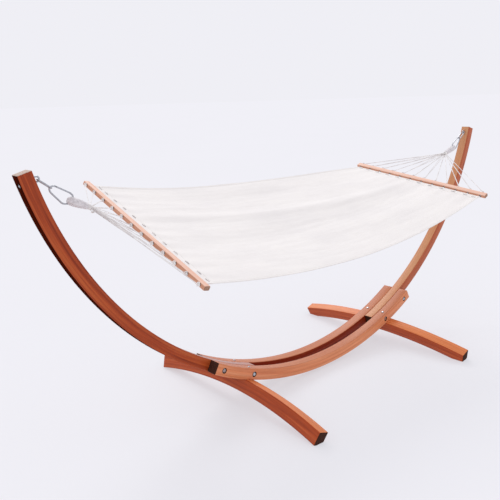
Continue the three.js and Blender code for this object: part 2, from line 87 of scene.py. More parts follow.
# Each side's sleeve: slope and reach. Its bar: centre, roll along the hammock and pitch.
SIDES = {
    "left": dict(side=-1, slope=24, reach=0.076, bar=(-1.095, 0, 0.962), roll=20.2, pitch=14),
    "right": dict(side=1, slope=17, reach=0.096, bar=(0.974, 0, 0.956), roll=7.7, pitch=25),
}

BAR_LENGTH, BAR_DEPTH, BAR_THICKNESS = 0.952, 0.030, 0.021
HOLE_RADIUS, HOLE_MARGIN, COUNTERSINK = 0.0045, 0.032, 0.0028
BAR_EDGE = 0.0045
CLOTH_WIDTH, CLOTH_FROM_BAR, CLOTH_SAG, CLOTH_CROSS_SAG = 0.886, 0.006, 0.077, 0.012
CLOTH_LEAN, CLOTH_TWIST_FROM = 0.15, 0.35
CLOTH_HALF = 0.0008  # half of the canvas's thickness
HEM_WIDTH, CASING = 0.013, 0.034
HEM_EXTRA, CASING_EXTRA = 0.0009, 0.0016  # what the folded hems add to half the thickness
LOOP_HALF, LOOP_INWARD = 0.0105, 0.024  # half width of a cord's loop in the hem, its place inward
GRID_ALONG, GRID_ACROSS = 360, 220
PULL_REACH = 0.11  # how far the puckers of the cords run into the cloth
FOLDS = (  # soft folds along the cloth: place across at the left end, lean, width, height
    (0.34, -0.30, 0.085, 0.0085),
    (-0.30, 0.10, 0.16, -0.0070),
    (0.72, -0.12, 0.12, -0.0050),
)


# ---- Camera ----

CAMERA_PLACE = Vector((-2.43452, -2.19797, 1.48535))
CAMERA_YAW, CAMERA_PITCH, CAMERA_ROLL = 48.311, 13.861, -1.6946
SENSOR, LENS = 36.0, 44.09


def make_camera():
    yaw, pitch, roll = (math.radians(a) for a in (CAMERA_YAW, CAMERA_PITCH, CAMERA_ROLL))
    ahead = Vector((math.cos(yaw) * math.cos(pitch), math.sin(yaw) * math.cos(pitch), -math.sin(pitch)))
    level = Vector((math.sin(yaw), -math.cos(yaw), 0))
    above = level.cross(ahead)
    right = math.cos(roll) * level + math.sin(roll) * above
    up = -math.sin(roll) * level + math.cos(roll) * above
    data = bpy.data.cameras.new("camera")
    data.lens, data.sensor_width, data.sensor_fit = LENS, SENSOR, "HORIZONTAL"
    camera = bpy.data.objects.new("camera", data)
    turn = Matrix((right, up, -ahead)).transposed()
    camera.matrix_world = Matrix.Translation(CAMERA_PLACE) @ turn.to_4x4()
    bpy.context.scene.collection.objects.link(camera)
    bpy.context.scene.camera = camera


make_camera()


# ---- Mesh tools ----

def arc_frame(angle, radius, y=0.0):
    """Local Z points from the arc to its centre, local X along the arc."""
    turn = math.radians(angle)
    place = Vector((radius * math.sin(turn), y, ARC_CENTRE_Z - radius * math.cos(turn)))
    return Matrix.Translation(place) @ Matrix.Rotation(-turn, 4, "Y")


def pull_frame(side, slope, origin):
    """Local X points down along the pull, from the arm to the hammock; local Z points up."""
    turn = math.radians(slope)
    along = Vector((-side * math.cos(turn), 0, -math.sin(turn)))
    up = Vector((-side * math.sin(turn), 0, math.cos(turn)))
    turned = Matrix((along, up.cross(along), up)).transposed().to_4x4()
    return Matrix.Translation(origin) @ turned


def skin(bm, rings, closed=False):
    """Faces between rings of points, with caps at both ends unless the rings close."""
    made = [[bm.verts.new(p) for p in ring] for ring in rings]
    count = len(made[0])
    for i in range(len(made) if closed else len(made) - 1):
        low, high = made[i], made[(i + 1) % len(made)]
        for j in range(count):
            k = (j + 1) % count
            bm.faces.new((low[j], low[k], high[k], high[j]))
    if not closed:
        bm.faces.new(made[0][::-1])
        bm.faces.new(made[-1])


def add_lathe(bm, matrix, profile, sides=32):
    """A turned body round local Z. The profile lists (radius, place); both ends are capped."""
    rings = []
    for radius, place in profile:
        turns = (2 * math.pi * i / sides for i in range(sides))
        rings.append([matrix @ Vector((radius * math.cos(t), radius * math.sin(t), place)) for t in turns])
    skin(bm, rings)


def add_ring(bm, matrix, outer, inner, low, high, edge, sides=40):
    """A washer or a nut round local Z, with broken edges and a round hole."""
    section = [(outer - edge, low), (outer, low + edge), (outer, high - edge), (outer - edge, high),
               (inner + edge, high), (inner, high - edge), (inner, low + edge), (inner + edge, low)]
    rings = []
    round_sides = 48
    for i in range(round_sides):
        turn = 2 * math.pi * i / round_sides
        sector = 2 * math.pi / sides
        flat = math.cos(sector / 2) / math.cos((turn % sector) - sector / 2)
        ring = []
        for radius, place in section:
            reach = radius * flat if radius > (outer + inner) / 2 else radius
            ring.append(matrix @ Vector((reach * math.cos(turn), reach * math.sin(turn), place)))
        rings.append(ring)
    skin(bm, rings, closed=True)


def resample(points, step):
    """The same line with points evenly spaced, about step apart."""
    points = np.array([tuple(p) for p in points])
    lengths = np.concatenate([[0], np.cumsum(np.linalg.norm(np.diff(points, axis=0), axis=1))])
    places = np.linspace(0, lengths[-1], max(2, int(round(lengths[-1] / step)) + 1))
    return np.stack([np.interp(places, lengths, points[:, k]) for k in range(3)], axis=1)


def rounded_line(points, trim, steps=6):
    """A polyline whose corners are rounded, starting up to trim away from each."""
    points = [Vector(p) for p in points]
    line = [points[0]]
    for before, corner, after in zip(points, points[1:], points[2:]):
        cut = min(trim, (before - corner).length * 0.49, (after - corner).length * 0.49)
        start = corner + (before - corner).normalized() * cut
        end = corner + (after - corner).normalized() * cut
        for i in range(steps + 1):
            t = i / steps
            line.append(start.lerp(corner, t).lerp(corner.lerp(end, t), t))
    return line + [points[-1]]


def add_tube(bm, points, radius, sides=12, closed=False, strands=0, pitch=0.014):
    """Wire or cord along a line. With strands, the section is a twisted rope's."""
    line = np.array([tuple(p) for p in points])
    if closed:
        tangents = np.roll(line, -1, axis=0) - np.roll(line, 1, axis=0)
    else:
        tangents = np.gradient(line, axis=0)
    tangents /= np.linalg.norm(tangents, axis=1)[:, None]
    normal = np.cross(tangents[0], (0.13, 0.99, 0.07))
    rings, travelled = [], 0.0
    for i, (point, tangent) in enumerate(zip(line, tangents)):
        normal = normal - tangent * normal.dot(tangent)
        normal /= np.linalg.norm(normal)
        second = np.cross(tangent, normal)
        if i:
            travelled += np.linalg.norm(point - line[i - 1])
        ring = []
        for j in range(sides):
            turn = 2 * math.pi * j / sides
            reach = radius
            if strands:
                groove = abs(math.cos(strands / 2 * (turn - 2 * math.pi * travelled / pitch)))
                reach = radius * (0.84 + 0.16 * groove ** 0.6)
            ring.append(point + reach * (math.cos(turn) * normal + math.sin(turn) * second))
        rings.append([tuple(p) for p in ring])
    skin(bm, rings, closed)


def rounded_section(half_width, half_height, edge, steps=3):
    """Points (across, up) round a rectangle with rounded corners."""
    points = []
    for corner, (a, b) in enumerate(((1, 1), (-1, 1), (-1, -1), (1, -1))):
        for i in range(steps + 1):
            turn = math.pi / 2 * (corner + i / steps)
            across = a * (half_width - edge) + edge * math.cos(turn)
            points.append((across, b * (half_height - edge) + edge * math.sin(turn)))
    return points


def add_beam(bm, place, start, end, half_width, half_height, edge, step=0.015):
    """A beam along place(s), whose local X runs along it, with rounded ends and edges."""
    stations = []
    arcs = [math.pi / 2 * i / 3 for i in range(4)]
    stations += [(start + edge - edge * math.sin(a), edge - edge * math.cos(a)) for a in reversed(arcs)]
    count = max(2, int((end - start) / step))
    inner = np.linspace(start + edge, end - edge, count)[1:-1]
    stations += [(s, 0.0) for s in inner]
    stations += [(end - edge + edge * math.sin(a), edge - edge * math.cos(a)) for a in arcs]
    rings = []
    for s, inset in stations:
        corner = max(edge - inset, edge * 0.1)
        section = rounded_section(half_width - inset, half_height - inset, corner)
        rings.append([place(s) @ Vector((0, across, up)) for across, up in section])
    skin(bm, rings)


def piece(name, bm, look, body, replaces=(), crease=32):
    """Makes an object of the mesh, on a CAD body, standing for the CAD nodes it replaces."""
    bmesh.ops.recalc_face_normals(bm, faces=bm.faces)
    mesh = bpy.data.meshes.new(name)
    bm.to_mesh(mesh)
    bm.free()
    obj = bpy.data.objects.new(name, mesh)
    show(obj)
    for material in look if isinstance(look, (list, tuple)) else [look]:
        mesh.materials.append(material)
    smooth(mesh, crease)
    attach(obj, body)
    if replaces:
        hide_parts(*replaces)
    return obj


def metal(node, bm, look, body="stand"):
    """A metal piece that stands for one CAD node."""
    return piece(f"{node}_steel", bm, look, body, [node])


def show(obj):
    bpy.context.scene.collection.objects.link(obj)


def smooth(mesh, crease):
    mesh.polygons.foreach_set("use_smooth", [True] * len(mesh.polygons))
    mesh.set_sharp_from_angle(angle=math.radians(crease))


def cut(obj, cutters, crease=32):
    """Takes the closed shapes in the bmesh cutters out of a piece."""
    bmesh.ops.recalc_face_normals(cutters, faces=cutters.faces)
    mesh = bpy.data.meshes.new("cutter")
    cutters.to_mesh(mesh)
    cutters.free()
    for material in obj.data.materials:
        mesh.materials.append(material)
    # The cut faces take the piece's last look; on the wooden pieces that is a darker tone, painted shade in
    # the bores and recesses.
    dark = len(mesh.materials) - 1
    mesh.polygons.foreach_set("material_index", [dark] * len(mesh.polygons))
    tool = bpy.data.objects.new("cutter", mesh)
    show(tool)
    modifier = obj.modifiers.new("cut", "BOOLEAN")
    modifier.operation, modifier.solver, modifier.object = "DIFFERENCE", "EXACT", tool
    bpy.context.view_layer.update()
    evaluated = obj.evaluated_get(bpy.context.evaluated_depsgraph_get())
    result = bpy.data.meshes.new_from_object(evaluated)
    obj.modifiers.clear()
    obj.data = result
    bpy.data.objects.remove(tool)
    smooth(result, crease)


# ---- Material tools ----

class Nodes:
    """A small builder for node materials."""

    def __init__(self, name):
        self.material = bpy.data.materials.new(name)
        self.material.use_nodes = True
        self.tree = self.material.node_tree
        self.shader = self.tree.nodes["Principled BSDF"]

    def add(self, kind, **values):
        node = self.tree.nodes.new("ShaderNode" + kind)
        for key, value in values.items():
            if key in node.inputs:
                node.inputs[key].default_value = value
            else:
                setattr(node, key, value)
        return node

    def link(self, source, target):
        self.tree.links.new(source, target)

    def scaled(self, source, scale):
        node = self.add("Mapping")
        node.inputs["Scale"].default_value = scale
        self.link(source, node.inputs["Vector"])
        return node.outputs["Vector"]

    def noise(self, vector, scale, detail=4.0, roughness=0.55):
        node = self.add("TexNoise", Scale=scale, Detail=detail, Roughness=roughness)
        self.link(vector, node.inputs["Vector"])
        return node.outputs["Fac"]

    def ramp(self, source, *stops):
        node = self.add("ValToRGB")
        elements = node.color_ramp.elements
        while len(elements) < len(stops):
            elements.new(0.5)
        for element, (place, colour) in zip(elements, stops):
            element.position, element.color = place, (*colour, 1)
        self.link(source, node.inputs["Fac"])
        return node.outputs["Color"]

    def mix(self, factor, first, second, blend="MIX"):
        node = self.add("Mix", data_type="RGBA", blend_type=blend)
        for value, socket in ((factor, node.inputs[0]), (first, node.inputs[6]), (second, node.inputs[7])):
            if hasattr(value, "is_linked"):
                self.link(value, socket)
            else:
                socket.default_value = value
        return node.outputs[2]

    def math(self, operation, first, second=0.0):
        node = self.add("Math", operation=operation)
        for value, socket in ((first, node.inputs[0]), (second, node.inputs[1])):
            if hasattr(value, "is_linked"):
                self.link(value, socket)
            else:
                socket.default_value = value
        return node.outputs[0]

    def bump(self, height, strength, distance):
        node = self.add("Bump", Strength=strength, Distance=distance)
        self.link(height, node.inputs["Height"])
        self.link(node.outputs["Normal"], self.shader.inputs["Normal"])

    def paint(self, colour):
        self.link(colour, self.shader.inputs["Base Color"])

    def set(self, **values):
        for key, value in values.items():
            self.shader.inputs[key.replace("_", " ")].default_value = value


def linear(red, green, blue):
    """A colour from 0-255 screen values."""
    def one(value):
        value /= 255
        return value / 12.92 if value <= 0.04045 else ((value + 0.055) / 1.055) ** 2.4
    return one(red), one(green), one(blue)


def grained_wood(name, dark, middle, light, layer, roughness=0.42, coat=0.06, shine=0.2, knots=0.8):
    """Varnished laminated wood. The attribute grain holds (along, across, up) in the beam."""
    n = Nodes(name)
    grain = n.add("Attribute", attribute_name="grain").outputs["Vector"]
    streaks = n.noise(n.scaled(grain, (1.6, 70, 70)), 1.0, 6, 0.6)
    fibres = n.noise(n.scaled(grain, (9, 520, 520)), 1.0, 3, 0.6)
    clouds = n.noise(n.scaled(grain, (3.2, 11, 11)), 1.0, 3, 0.5)
    base = n.ramp(streaks, (0.30, dark), (0.50, middle), (0.70, light))
    base = n.mix(n.math("MULTIPLY", clouds, 0.55), base, (*middle, 1))
    fine = n.ramp(fibres, (0.36, (0.72, 0.66, 0.62)), (0.58, (1, 1, 1)))
    base = n.mix(0.55, base, fine, "MULTIPLY")
    parts = n.add("SeparateXYZ")
    n.link(grain, parts.inputs[0])
    level = n.math("DIVIDE", parts.outputs["Z"], layer)
    tone = n.add("TexWhiteNoise", noise_dimensions="1D")
    n.link(n.math("FLOOR", n.math("ADD", level, 0.5)), tone.inputs["W"])
    shade = n.ramp(tone.outputs["Value"], (0.0, (0.80, 0.76, 0.74)), (1.0, (1.0, 1.0, 1.0)))
    base = n.mix(0.8, base, shade, "MULTIPLY")
    seam = n.math("ABSOLUTE", n.math("SUBTRACT", n.math("FRACT", level), 0.5))
    line = n.ramp(seam, (0.0, (0.55, 0.48, 0.45)), (0.035, (1, 1, 1)))
    base = n.mix(0.75, base, line, "MULTIPLY")
    cells = n.add("TexVoronoi", Scale=1.0)
    n.link(n.scaled(grain, (4.2, 21, 21)), cells.inputs["Vector"])
    chance = n.add("SeparateXYZ")
    n.link(cells.outputs["Color"], chance.inputs[0])
    here = n.math("MULTIPLY", n.math("GREATER_THAN", chance.outputs["X"], 0.76), knots)
    spot = n.ramp(cells.outputs["Distance"], (0.04, (0.50, 0.22, 0.16)), (0.15, (1, 1, 1)))
    base = n.mix(here, base, spot, "MULTIPLY")
    n.paint(base)
    gloss = n.math("ADD", n.math("MULTIPLY", streaks, 0.16), roughness - 0.08)
    n.link(gloss, n.shader.inputs["Roughness"])
    n.bump(n.math("ADD", fibres, n.math("MULTIPLY", streaks, 0.8)), 0.25, 0.0006)
    n.set(Coat_Weight=coat, Coat_Roughness=0.22, Specular_IOR_Level=shine)
    return n.material


def end_grain(name, dark, light, shine=0.25):
    """Sawn ends and bored recesses, with growth rings. Sawn ends are stained deeper; the dark tones in
    bored recesses and holes are painted shade, and the pale tone on the arms' top ends is painted light.
    """
    n = Nodes(name)
    grain = n.add("Attribute", attribute_name="grain").outputs["Vector"]
    rings = n.add("TexWave", wave_type="RINGS", rings_direction="X", Scale=70.0, Distortion=3.0, Detail=2.0)
    n.link(grain, rings.inputs["Vector"])
    pores = n.noise(n.scaled(grain, (300, 900, 900)), 1.0, 2)
    base = n.ramp(rings.outputs["Fac"], (0.2, dark), (0.8, light))
    base = n.mix(0.5, base, n.ramp(pores, (0.3, (0.5, 0.45, 0.42)), (0.6, (1, 1, 1))), "MULTIPLY")
    n.paint(base)
    n.bump(pores, 0.4, 0.0005)
    n.set(Roughness=0.75, Specular_IOR_Level=shine)
    return n.material


def plated_steel(name, colour, roughness):
    n = Nodes(name)
    where = n.add("TexCoord").outputs["Object"]
    clouds = n.noise(where, 160.0, 4)
    spots = n.noise(where, 900.0, 2)
    worn = tuple(0.72 * c for c in colour)
    n.link(n.ramp(clouds, (0.32, worn), (0.58, colour)), n.shader.inputs["Base Color"])
    rough = n.math("ADD", n.math("MULTIPLY", clouds, 0.22), roughness - 0.1)
    n.link(rough, n.shader.inputs["Roughness"])
    n.bump(spots, 0.12, 0.0003)
    n.set(Metallic=1.0)
    return n.material


def cotton_cord(name, light, dark):
    n = Nodes(name)
    where = n.add("TexCoord").outputs["Object"]
    fuzz = n.noise(where, 2600.0, 3, 0.7)
    soil = n.noise(where, 24.0, 3)
    base = n.ramp(soil, (0.35, dark), (0.62, light))
    base = n.mix(0.35, base, n.ramp(fuzz, (0.3, (0.70, 0.69, 0.67)), (0.6, (1, 1, 1))), "MULTIPLY")
    n.paint(base)
    n.bump(fuzz, 0.45, 0.0005)
    n.set(Roughness=0.92, Sheen_Weight=0.35, Sheen_Roughness=0.5)
    return n.material


def felted(name, light, dark):
    n = Nodes(name)
    where = n.add("TexCoord").outputs["Object"]
    fibres = n.noise(n.scaled(where, (700, 1500, 1500)), 1.0, 5, 0.75)
    patches = n.noise(where, 60.0, 4, 0.6)
    base = n.ramp(patches, (0.32, dark), (0.66, light))
    base = n.mix(0.6, base, n.ramp(fibres, (0.32, (0.66, 0.64, 0.63)), (0.64, (1, 1, 1))), "MULTIPLY")
    n.paint(base)
    n.bump(n.math("ADD", fibres, n.math("MULTIPLY", patches, 1.5)), 0.7, 0.0016)
    n.set(Roughness=0.97, Sheen_Weight=0.6, Sheen_Roughness=0.6)
    return n.material


def woven_canvas(name, light, dark, thread=0.0011):
    """Plain weave on the UV map, whose units are metres of cloth."""
    n = Nodes(name)
    where = n.add("UVMap", uv_map="weave").outputs["UV"]
    parts = n.add("SeparateXYZ")
    n.link(where, parts.inputs[0])
    turns = 2 * math.pi / (2 * thread)
    warp = n.math("SINE", n.math("MULTIPLY", parts.outputs["X"], turns))
    weft = n.math("SINE", n.math("MULTIPLY", parts.outputs["Y"], turns))
    weave = n.math("MULTIPLY", warp, weft)
    slubs = n.noise(n.scaled(where, (18, 900, 1)), 1.0, 3, 0.6)
    cloud = n.noise(n.scaled(where, (3, 7, 1)), 1.0, 4, 0.55)
    base = n.ramp(cloud, (0.30, dark), (0.60, light))
    thread_tone = n.ramp(slubs, (0.30, (0.90, 0.89, 0.87)), (0.60, (1, 1, 1)))
    base = n.mix(0.6, base, thread_tone, "MULTIPLY")
    raised = n.math("ADD", n.math("MULTIPLY", weave, 0.5), 0.5)
    gaps = n.ramp(raised, (0.0, (0.93, 0.92, 0.91)), (0.5, (1, 1, 1)))
    base = n.mix(0.6, base, gaps, "MULTIPLY")
    n.paint(base)
    n.bump(n.math("ADD", n.math("MULTIPLY", weave, 0.4), slubs), 0.35, 0.0004)
    n.set(Roughness=0.93, Sheen_Weight=0.25, Sheen_Roughness=0.5)
    return n.material


# ---- Materials ----

def stain(name, dark, middle, light, **finish):
    return grained_wood(name, linear(*dark), linear(*middle), linear(*light), LAYER, **finish)


def beech(name, dark, middle, light, roughness):
    whole = 0.2  # thicker than the bar, so that no lamination shows
    tones = [linear(*tone) for tone in (dark, middle, light)]
    return grained_wood(name, *tones, whole, roughness, coat=0.0, knots=0.0)


STAINED = stain("stained_wood", (122, 38, 13), (178, 74, 32), (216, 112, 56))
# Painted light: the arms' inner faces, lighter and glossier than their sides, as if lit from above.
PAINTED_LIGHT_INNER = stain("painted_light_inner_wood", (166, 80, 44), (204, 112, 70), (228, 142, 98), coat=0.5, shine=0.5)
# Painted light: the far arm in a lighter copy of the arm stain, for the light that falls on it.
PAINTED_LIGHT_FAR_ARM = stain("far_arm_wood", (156, 72, 40), (194, 98, 58), (216, 124, 80))
# Painted light: the far arm's inner faces, lighter still.
PAINTED_LIGHT_FAR_INNER = stain("painted_light_far_inner_wood", (244, 156, 104), (254, 188, 138), (254, 202, 156))
FOOT_STAIN = stain("foot_wood", (150, 54, 18), (190, 82, 36), (216, 112, 60))
# Painted light: the feet's top faces, lighter than their sides.
PAINTED_LIGHT_FOOT_TOP = stain("painted_light_foot_top_wood", (196, 100, 52), (230, 136, 82), (246, 162, 108))
RAIL_STAIN = stain("rail_wood", (208, 116, 70), (236, 150, 104), (247, 177, 134))
# Painted shade: the rails' faces toward the slot between them, darker than their other faces.
PAINTED_SHADE_SLOT = stain("painted_shade_slot_wood", (118, 34, 14), (152, 52, 24), (178, 74, 38), shine=0.1)
# Painted shade: the arms' outer faces, nearly black, with little shine.
SHADED = stain("painted_shade_outer_wood", (60, 18, 9), (84, 28, 15), (108, 40, 21),
               roughness=0.7, coat=0.0, shine=0.0)
# Dark stain on the sawn ends; as the last look of each piece it also fills the bored recesses as painted
# shade.
DARK_END_AND_PAINTED_SHADE = end_grain("stained_end_grain_and_recess_shade", linear(46, 26, 20), linear(84, 52, 42), 0.05)
# Painted light: the arms' top ends, pale as if lit from above.
PAINTED_LIGHT_ARM_END = end_grain("painted_light_arm_end_grain", linear(186, 160, 144), linear(220, 204, 190))
BEECH = beech("beech", (236, 180, 154), (250, 208, 186), (254, 222, 204), 0.5)
# Painted shade: the bars' faces that the holes run through, darker than their tops and bottoms.
PAINTED_SHADE_BEECH_SIDE = beech("painted_shade_beech_side", (192, 132, 102), (220, 162, 132), (234, 182, 152), 0.55)
# Painted shade: the insides of the bars' holes, darker.
PAINTED_SHADE_BEECH_HOLE = end_grain("painted_shade_beech_hole", linear(92, 58, 42), linear(128, 86, 62))
BEECH_END = end_grain("beech_end", linear(150, 112, 92), linear(190, 150, 126))
ZINC = plated_steel("zinc", (0.50, 0.51, 0.54), 0.20)
# Dull zinc for the hook's pin; its dark tone also stands as painted shade on the washers in their recesses.
DULL_ZINC_AND_PAINTED_SHADE = plated_steel("dull_zinc_and_recess_shade", (0.30, 0.29, 0.29), 0.45)
ROPE = cotton_cord("cotton_rope", linear(246, 243, 240), linear(220, 214, 212))
FELT = felted("felt", linear(240, 235, 236), linear(206, 199, 201))
CANVAS = woven_canvas("canvas", linear(242, 238, 234), linear(236, 232, 229))
THREAD = cotton_cord("thread", linear(236, 233, 226), linear(214, 210, 202))
# Grey binding of the slits; its grey is painted shade of the cords' loops.
SLIT_BINDING_AND_SHADE = cotton_cord("slit_binding_and_loop_shade", linear(176, 170, 168), linear(146, 140, 138))


# ---- Wooden stand ----

def finish_wood(obj, inverse, high_slot, low_slot):
    """Writes each vertex's place in the straightened beam and gives its two ends their looks."""
    mesh = obj.data
    places = [inverse(v.co) for v in mesh.vertices]
    grain = mesh.attributes.new("grain", "FLOAT_VECTOR", "POINT")
    grain.data.foreach_set("vector", [c for p in places for c in p])
    lowest, highest = min(p[0] for p in places), max(p[0] for p in places)
    for face in mesh.polygons:
        if face.material_index:
            continue
        along = [places[i][0] for i in face.vertices]
        if max(along) - min(along) > EDGE * 0.5:
            continue
        if max(along) > highest - EDGE * 0.3:
            face.material_index = high_slot
        elif min(along) < lowest + EDGE * 0.3:
            face.material_index = low_slot


def arc_inverse(y):
    def inverse(co):
        angle = math.atan2(co.x, ARC_CENTRE_Z - co.z)
        radius = math.hypot(co.x, co.z - ARC_CENTRE_Z)
        return angle * ARC_MIDDLE, co.y - y, ARC_MIDDLE - radius
    return inverse


def arc_place(y):
    return lambda s: arc_frame(math.degrees(s / ARC_MIDDLE), ARC_MIDDLE, y)


def rod_along_y(bm, matrix, radius, low, high):
    turned = matrix @ Matrix.Rotation(-math.pi / 2, 4, "X")
    add_lathe(bm, turned, [(radius, low), (radius, high)], 40)


def make_arm(label, side):
    ends = sorted(side * math.radians(a) * ARC_MIDDLE for a in (ARM_LOWER, ARM_TOP))
    bm = bmesh.new()
    half = (ARC_OUTER - ARC_INNER) / 2
    add_beam(bm, arc_place(0), *ends, ARM_WIDTH / 2, half, EDGE)
    looks = [*((STAINED, PAINTED_LIGHT_INNER) if side < 0 else (PAINTED_LIGHT_FAR_ARM, PAINTED_LIGHT_FAR_INNER)), PAINTED_LIGHT_ARM_END, SHADED, DARK_END_AND_PAINTED_SHADE]
    arm = piece(f"{label}_arm_wood", bm, looks, "stand", [f"{label}_arm"])
    cutters = bmesh.new()
    for angle in SIDE_BOLT_ANGLES:
        rod_along_y(cutters, arc_frame(side * angle, ARC_MIDDLE), SIDE_HOLE, -ARM_WIDTH, ARM_WIDTH)
    recess = [(EYE_RECESS_RADIUS, -0.02), (EYE_RECESS_RADIUS, EYE_RECESS_DEPTH),
              (SMALL_HOLE, EYE_RECESS_DEPTH), (SMALL_HOLE, 0.08)]
    add_lathe(cutters, arc_frame(side * EYE_ANGLE, ARC_OUTER), recess, 40)
    cut(arm, cutters)
    # Slots 1 and 2 are painted light on the inner faces and the top end; slot 3 is painted shade on the
    # outer faces; slot 4 is dark end grain, also painted shade in the bored recesses.
    inner, pale, shaded, dark = 1, 2, 3, 4
    finish_wood(arm, arc_inverse(0), *((pale, dark) if side > 0 else (dark, pale)))
    for face in arm.data.polygons:
        centre = Vector((0, face.center.y, ARC_CENTRE_Z))
        outward = face.normal.dot((face.center - centre).normalized())
        if face.material_index == 0 and abs(outward) > 0.8:
            face.material_index = shaded if outward > 0 else inner


def make_rail(label, side):
    y = side * RAIL_Y
    reach = math.radians(RAIL_END) * ARC_MIDDLE
    half = (ARC_OUTER - ARC_INNER) / 2
    bm = bmesh.new()
    add_beam(bm, arc_place(y), -reach, reach, RAIL_WIDTH / 2, half, EDGE)
    looks = [RAIL_STAIN, PAINTED_SHADE_SLOT, DARK_END_AND_PAINTED_SHADE]
    rail = piece(f"{label}_rail_wood", bm, looks, "stand", [f"{label}_rail"])
    cutters = bmesh.new()
    recess = sorted((side * (RAIL_FACE - RECESS_DEPTH), side * (RAIL_FACE + 0.02)))
    through = sorted((side * 0.01, side * (RAIL_FACE - RECESS_DEPTH / 2)))
    for end in (-1, 1):
        for angle in SIDE_BOLT_ANGLES:
            place = arc_frame(end * angle, ARC_MIDDLE)
            rod_along_y(cutters, place, RECESS_RADIUS, *recess)
        foot_hole = [(SMALL_HOLE, -0.02), (SMALL_HOLE, 0.08)]
        add_lathe(cutters, arc_frame(end * FOOT_ANGLE, ARC_OUTER, y), foot_hole, 24)
    cut(rail, cutters)
    shanks = bmesh.new()
    for end in (-1, 1):
        for angle in SIDE_BOLT_ANGLES:
            rod_along_y(shanks, arc_frame(end * angle, ARC_MIDDLE), SIDE_HOLE, *through)
    cut(rail, shanks)
    # Slot 1 is painted shade on the faces toward the slot; slot 2 is dark end grain on the ends, also
    # painted shade in the bored recesses.
    slot, dark = 1, 2
    finish_wood(rail, arc_inverse(y), dark, dark)
    for face in rail.data.polygons:
        if face.material_index == 0 and face.normal.y * side < -0.8:
            face.material_index = slot


def foot_tools(side):
    """The foot's place along its bend, and the way back from a point to it."""
    base = arc_frame(side * FOOT_ANGLE, ARC_OUTER + GAP)
    back = base.inverted()
    middle = FOOT_BEND - FOOT_DEPTH / 2
    centre = -math.sqrt(FOOT_BEND ** 2 - FOOT_SEAT ** 2)

    def place(s):
        turn = s / middle
        spot = Vector((0, middle * math.sin(turn), centre + middle * math.cos(turn)))
        along = Vector((0, math.cos(turn), -math.sin(turn)))
        up = Vector((0, math.sin(turn), math.cos(turn)))
        turned = Matrix((along, Vector((-1, 0, 0)), up)).transposed().to_4x4()
        return base @ Matrix.Translation(spot) @ turned

    def inverse(co):
        p = back @ co
        turn = math.atan2(p.y, p.z - centre)
        return turn * middle, p.x, math.hypot(p.y, p.z - centre) - middle

    return base, place, inverse


def make_foot(label, side):
    base, place, inverse = foot_tools(side)
    reach = math.asin(FOOT_HALF / FOOT_BEND) * (FOOT_BEND - FOOT_DEPTH / 2)
    bm = bmesh.new()
    add_beam(bm, place, -reach, reach, FOOT_WIDTH / 2, FOOT_DEPTH / 2, EDGE)
    back = base.inverted()
    for vertex in bm.verts:
        local = back @ vertex.co
        if abs(local.y) < FOOT_SEAT and local.z > 0:
            local.z = 0
            vertex.co = base @ local
    looks = [FOOT_STAIN, PAINTED_LIGHT_FOOT_TOP, DARK_END_AND_PAINTED_SHADE]
    foot = piece(f"{label}_foot_wood", bm, looks, "stand", [f"{label}_foot"])
    cutters = bmesh.new()
    for y in (-RAIL_Y, RAIL_Y):
        spot = base @ Matrix.Translation((0, y, 0))
        shaft = [(UNDER_RADIUS, -FOOT_DEPTH - 0.02), (UNDER_RADIUS, UNDER_DEPTH - FOOT_DEPTH),
                 (SMALL_HOLE, UNDER_DEPTH - FOOT_DEPTH), (SMALL_HOLE, 0.02)]
        add_lathe(cutters, spot, shaft, 40)
    cut(foot, cutters)
    floor = bmesh.new()
    below = Matrix.Diagonal((4, 2, 1, 1)) @ Matrix.Translation((0, 0, -0.5))
    bmesh.ops.create_cube(floor, size=1.0, matrix=below)
    cut(foot, floor)
    # Slot 1 is painted light on the top faces; slot 2 is dark end grain on the ends, also painted shade in
    # the bored recesses and on the cut underside.
    top, dark = 1, 2
    finish_wood(foot, inverse, dark, dark)
    for face in foot.data.polygons:
        if face.material_index == 0 and (back.to_3x3() @ face.normal).z > 0.8:
            face.material_index = top


for stand_label, stand_side in (("left", -1), ("right", 1)):
    make_arm(stand_label, stand_side)
    make_foot(stand_label, stand_side)
for stand_label, stand_side in (("near", -1), ("far", 1)):
    make_rail(stand_label, stand_side)


# ---- Fasteners ----

def threaded(radius, low, high, pitch=0.0015, depth=0.0005):
    """Profile of a shank whose last stretch, from low to high, carries a thread."""
    count = max(2, int(abs(high - low) / pitch))
    places = np.linspace(low, high, 2 * count + 1)
    return [(radius if i % 2 else radius - depth, z) for i, z in enumerate(places)]


def hex_profile(radius, low, high, edge=0.0009):
    return [(radius * 0.88, low), (radius, low + edge), (radius, high - edge), (radius * 0.88, high)]


